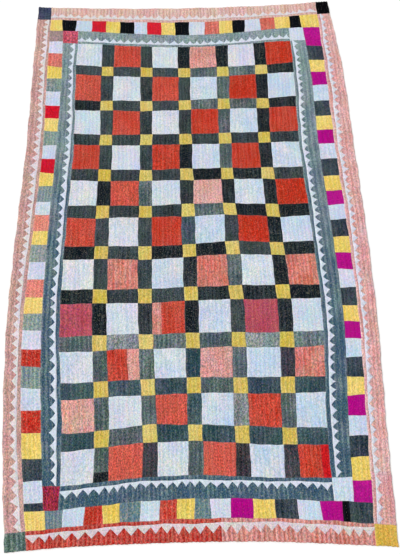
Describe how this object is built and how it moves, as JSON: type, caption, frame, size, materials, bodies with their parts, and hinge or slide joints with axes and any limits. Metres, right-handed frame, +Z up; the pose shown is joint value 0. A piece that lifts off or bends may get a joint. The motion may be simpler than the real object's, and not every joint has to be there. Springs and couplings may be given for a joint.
{
  "type": "ralli quilt",
  "caption": "Rectangular pieced quilt laid flat: checked centre with sashing, sawtooth bands, a row of small squares and an outer border, stitched in close rows.",
  "frame": {"origin": "middle of the quilt's outline box, on the surface that it lies on", "axes": "+X across the quilt to its right, +Y from its foot to its head, +Z up through its face"},
  "size_m": [1.3529, 2.2352, 0.0083],
  "materials": {
    "backing_cotton": "matte cotton",
    "faded_black_cotton": "matte cotton",
    "grey_blue_cotton": "matte cotton",
    "steel_blue_cotton": "matte cotton",
    "crimson_cotton": "matte cotton",
    "white_cotton": "matte cotton",
    "yellow_cotton": "matte cotton",
    "dusty_pink_cotton": "matte cotton",
    "salmon_cotton": "matte cotton",
    "red_cotton": "matte cotton",
    "ink_blue_cotton": "matte cotton",
    "black_cotton": "matte cotton",
    "bottle_green_cotton": "matte cotton",
    "gold_cotton": "matte cotton",
    "magenta_cotton": "matte cotton",
    "sewing_thread": "matte cotton"
  },
  "bodies": {
    "root": {"quilted_ground": "backing_cotton", "centre_field": "faded_black_cotton", "band_left": "grey_blue_cotton", "band_right": "grey_blue_cotton", "band_head": "grey_blue_cotton", "band_foot": "steel_blue_cotton", "band_corner_head_left": "crimson_cotton", "band_corner_foot_left": "crimson_cotton", "band_corner_head_right": "white_cotton", "band_corner_foot_right": "white_cotton", "squares_head": "yellow_cotton", "squares_foot": "yellow_cotton", "squares_left": "yellow_cotton", "squares_right": "yellow_cotton", "border_left": "dusty_pink_cotton", "border_head": "dusty_pink_cotton", "border_right_upper": "salmon_cotton", "border_right_lower": "salmon_cotton", "border_foot_red": "red_cotton", "border_foot_pink": "salmon_cotton", "corner_head_left": "ink_blue_cotton", "corner_head_right": "black_cotton", "corner_foot_left": "bottle_green_cotton", "corner_foot_right": "gold_cotton", "trim_outer_left": "white_cotton", "trim_inner_left": "white_cotton", "trim_outer_right": "white_cotton", "trim_inner_right": "white_cotton", "trim_outer_head": "white_cotton", "trim_inner_head": "white_cotton", "trim_outer_foot": "white_cotton", "trim_inner_foot": "white_cotton"}
  },
  "joints": []
}
